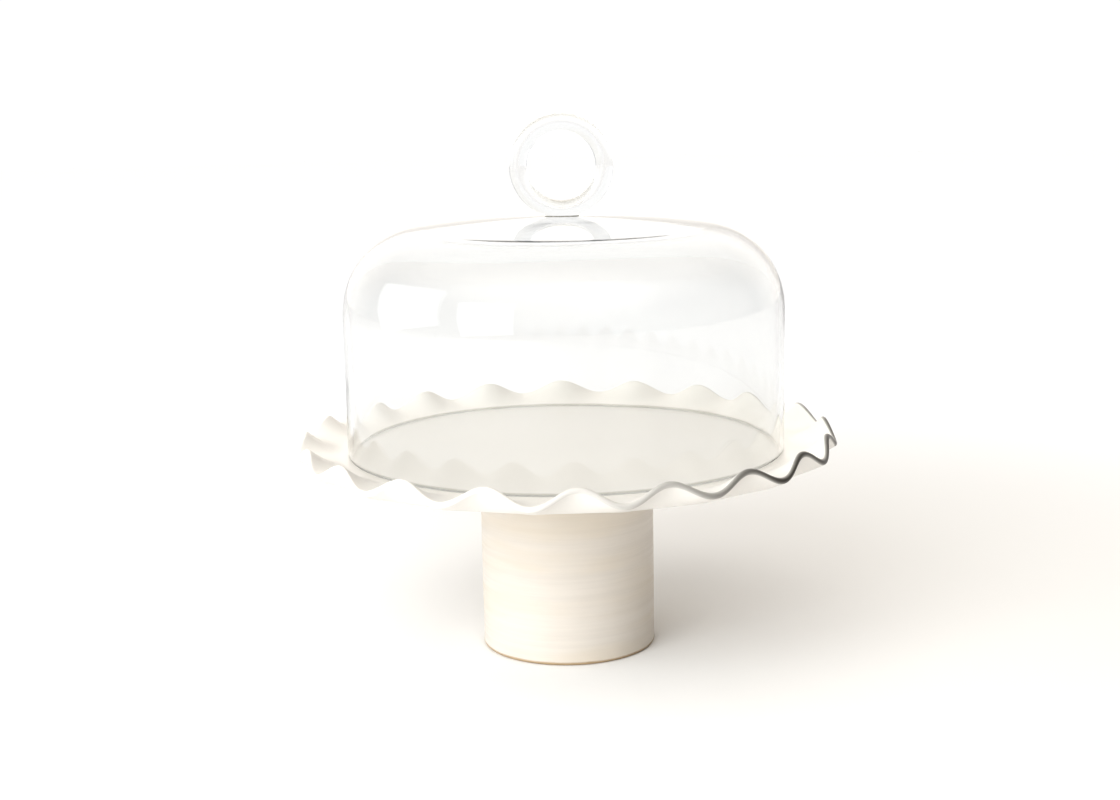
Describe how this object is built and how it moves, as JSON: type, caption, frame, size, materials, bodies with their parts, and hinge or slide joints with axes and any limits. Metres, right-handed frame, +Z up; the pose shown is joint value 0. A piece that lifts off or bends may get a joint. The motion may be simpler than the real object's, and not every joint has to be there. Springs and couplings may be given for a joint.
{
  "type": "cake stand dome",
  "caption": "Footed cake plate with a ruffled rim and a lift-off clear glass dome with a ring handle, for showing and keeping a cake.",
  "frame": {"origin": "centre of the pedestal's foot, on the table", "axes": "+Z up along the axis of the pedestal and dome, -Y the front, +X to the right; the ring handle lies in the XZ plane"},
  "size_m": [0.3116, 0.3185, 0.3103],
  "materials": {
    "satin_glazed_clay": "satin",
    "gloss_glazed_clay": "glossy",
    "clear_glass": "clear polished",
    "clear_bond": "clear cured adhesive"
  },
  "bodies": {
    "stand": {"pedestal": "satin_glazed_clay", "ruffled_plate": "gloss_glazed_clay"},
    "dome": {"glass_dome": "clear_glass", "handle_bond": "clear_bond", "ring_handle": "clear_glass"}
  },
  "joints": [
    {"name": "dome_lift", "type": "slide", "parent": "stand", "child": "dome", "axis": [0, 0, 1], "range_m": [0, 0.18]}
  ]
}
